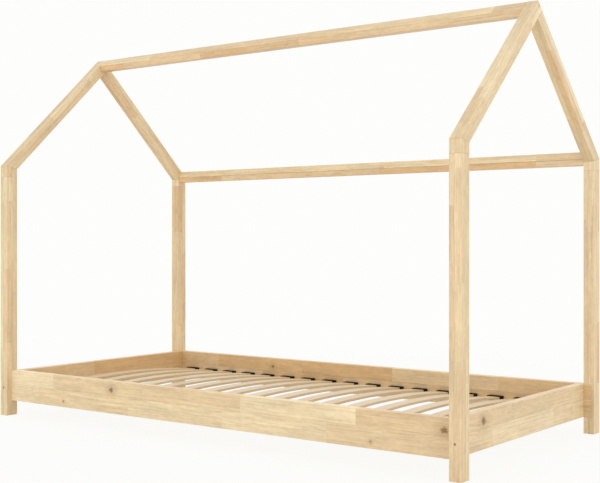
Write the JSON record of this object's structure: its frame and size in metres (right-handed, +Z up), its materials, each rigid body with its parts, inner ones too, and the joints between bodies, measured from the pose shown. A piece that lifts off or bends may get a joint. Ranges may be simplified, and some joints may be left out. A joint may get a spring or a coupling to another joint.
{
  "type": "house frame bed",
  "caption": "Low child's bed with a slatted box between four posts, two pitched gables, a ridge beam and a rear eave beam; natural wood, open front",
  "frame": {"origin": "middle of the bed's footprint, on the floor under its four posts", "axes": "+X along the bed, towards the gable that is on the right when one faces the open front; -Y towards the open front, +Y towards the rear eave beam; +Z up"},
  "size_m": [1.7654, 0.893, 1.2618],
  "materials": {
    "frame_wood": "natural satin, edge glued",
    "board_wood": "natural satin, edge glued staves",
    "ledger_wood": "natural, planed",
    "slat_wood": "pale veneer, satin",
    "dowel_wood": "natural, turned",
    "cap_plastic": "matte black",
    "screw_steel": "zinc plated",
    "cam_zinc": "cast, satin"
  },
  "bodies": {
    "root": {"cam_bolts_board": "screw_steel", "cam_bolts_eave": "screw_steel", "cam_bolts_post": "screw_steel", "cam_bolts_ridge": "screw_steel", "cams_board": "cam_zinc", "cams_eave": "cam_zinc", "cams_post": "cam_zinc", "cams_ridge": "cam_zinc", "dowels_apex": "dowel_wood", "dowels_board": "dowel_wood", "dowels_eave": "dowel_wood", "dowels_knee": "dowel_wood", "dowels_post": "dowel_wood", "dowels_ridge": "dowel_wood", "end_board_left": "board_wood", "end_board_right": "board_wood", "knee_front_left": "frame_wood", "knee_front_right": "frame_wood", "knee_rear_left": "frame_wood", "knee_rear_right": "frame_wood", "ledger_screws": "screw_steel", "post_front_left": "frame_wood", "post_front_right": "frame_wood", "post_rear_left": "frame_wood", "post_rear_right": "frame_wood", "rafter_front_left": "frame_wood", "rafter_front_right": "frame_wood", "rafter_rear_left": "frame_wood", "rafter_rear_right": "frame_wood", "rail_screws": "screw_steel", "rear_eave_beam": "frame_wood", "ridge_beam": "frame_wood", "side_rail_front": "board_wood", "side_rail_rear": "board_wood", "slat_01": "slat_wood", "slat_02": "slat_wood", "slat_03": "slat_wood", "slat_04": "slat_wood", "slat_05": "slat_wood", "slat_06": "slat_wood", "slat_07": "slat_wood", "slat_08": "slat_wood", "slat_09": "slat_wood", "slat_10": "slat_wood", "slat_11": "slat_wood", "slat_12": "slat_wood", "slat_13": "slat_wood", "slat_14": "slat_wood", "slat_15": "slat_wood", "slat_16": "slat_wood", "slat_17": "slat_wood", "slat_caps_front": "cap_plastic", "slat_caps_rear": "cap_plastic", "slat_ledger_front": "ledger_wood", "slat_ledger_rear": "ledger_wood"}
  },
  "joints": []
}
